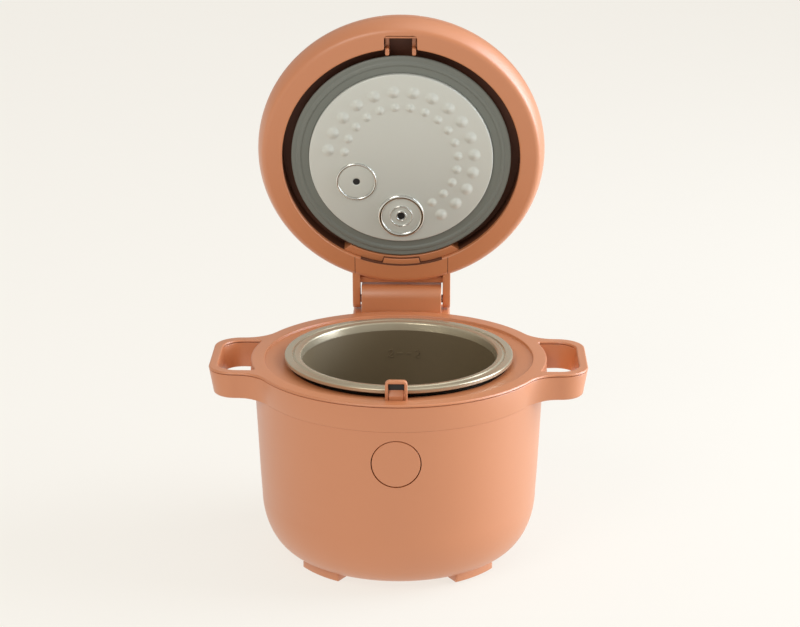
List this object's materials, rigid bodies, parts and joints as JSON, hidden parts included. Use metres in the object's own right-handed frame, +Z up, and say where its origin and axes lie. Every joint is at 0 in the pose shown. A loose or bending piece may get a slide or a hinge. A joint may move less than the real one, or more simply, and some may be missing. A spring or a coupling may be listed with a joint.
{
  "type": "rice cooker",
  "caption": "Round rice cooker with an inner pot, side loop handles, a round front button and a hinged, latching lid with a removable inner lid and steam cap.",
  "frame": {"origin": "the body's vertical axis on the surface that the feet stand on", "axes": "+Z up, -Y towards the front with the start button, +X to the right as seen from the front"},
  "size_m": [0.2648, 0.2494, 0.3713],
  "materials": {
    "casing_plastic": "matte terracotta-pink moulded plastic",
    "grey_silicone": "soft grey silicone",
    "stainless": "satin stainless steel",
    "pot_metal": "bright rolled lip, dark bronze non-stick inside",
    "cast_aluminium": "as cast",
    "sheet_steel": "plated sheet",
    "spring_steel": "drawn wire",
    "black_plastic": "black moulded plastic",
    "white_plastic": "natural moulded plastic",
    "circuit_board": "green solder mask",
    "pad_rubber": "soft brown rubber",
    "contact_brass": "plated contact pins"
  },
  "bodies": {
    "base": {"top_ring": "casing_plastic", "collar": "casing_plastic", "outer_shell": "casing_plastic", "base_cover": "casing_plastic", "catch_post": "casing_plastic", "inner_liner": "sheet_steel", "heating_plate": "cast_aluminium", "heating_element": "sheet_steel", "sensor_bracket": "sheet_steel", "sensor_spring": "spring_steel", "thermal_fuse": "white_plastic", "button_guide": "black_plastic", "button_board": "circuit_board", "tact_switch": "black_plastic", "power_board": "circuit_board", "relay": "black_plastic", "filter_capacitor": "black_plastic", "inlet_socket": "black_plastic", "inlet_pins": "contact_brass", "hinge_housing": "casing_plastic", "hinge_bracket": "sheet_steel", "hinge_pin": "spring_steel", "hinge_spring_right": "spring_steel", "hinge_spring_left": "spring_steel", "ring_screws": "sheet_steel", "plate_screws": "sheet_steel", "base_screws": "sheet_steel", "foot_pad_back_right": "pad_rubber", "foot_pad_back_left": "pad_rubber", "foot_pad_front_right": "pad_rubber", "foot_pad_front_left": "pad_rubber"},
    "lid": {"lid_frame": "casing_plastic", "lid_cover": "casing_plastic", "lid_hinge_arm": "casing_plastic", "inner_lid_tab": "casing_plastic", "latch_pin": "spring_steel", "latch_spring": "spring_steel", "steam_duct": "grey_silicone", "lid_screws": "sheet_steel"},
    "latch": {"latch_lever": "casing_plastic"},
    "inner_lid": {"inner_lid_plate": "stainless", "inner_lid_ring": "white_plastic", "lid_gasket": "grey_silicone", "ball_valve_body": "grey_silicone", "steam_port": "grey_silicone"},
    "ball": {"valve_ball": "spring_steel"},
    "steam_cap": {"steam_cap": "casing_plastic", "steam_cap_base": "casing_plastic", "steam_cap_seal": "grey_silicone"},
    "pot": {"pot": "pot_metal"},
    "button": {"start_button": "casing_plastic"},
    "sensor": {"sensor_plunger": "cast_aluminium"}
  },
  "joints": [
    {"name": "lid_hinge", "type": "hinge", "parent": "base", "child": "lid", "pos_m": [0, 0.118, 0.1505], "axis": [-1, 0, 0], "range_deg": [-78, 0], "stiffness_Nm_per_rad": 0.5, "springref_deg": 85.94},
    {"name": "pot_lift", "type": "slide", "parent": "base", "child": "pot", "axis": [0, 0, 1], "range_m": [0, 0.095]},
    {"name": "inner_lid_pull", "type": "slide", "parent": "lid", "child": "inner_lid", "axis": [0, -0.9781, -0.2079], "range_m": [0, 0.009]},
    {"name": "steam_cap_pull", "type": "slide", "parent": "lid", "child": "steam_cap", "axis": [0, 0.9781, 0.2079], "range_m": [0, 0.02]},
    {"name": "latch_release", "type": "hinge", "parent": "lid", "child": "latch", "pos_m": [0, 0.08789, 0.36288], "axis": [-1, 0, 0], "range_deg": [0, 7], "stiffness_Nm_per_rad": 0.3, "springref_deg": -5.73},
    {"name": "start_button_press", "type": "slide", "parent": "base", "child": "button", "axis": [0, 1, 0], "range_m": [0, 0.0012], "stiffness_N_per_m": 400, "springref_m": -0.0005},
    {"name": "sensor_press", "type": "slide", "parent": "base", "child": "sensor", "axis": [0, 0, 1], "range_m": [-0.0025, 0], "stiffness_N_per_m": 300, "springref_m": 0.002, "deforming": ["sensor_spring"]},
    {"name": "valve_ball_lift", "type": "slide", "parent": "inner_lid", "child": "ball", "axis": [0, -0.9781, -0.2079], "range_m": [-0.0015, 0]}
  ]
}
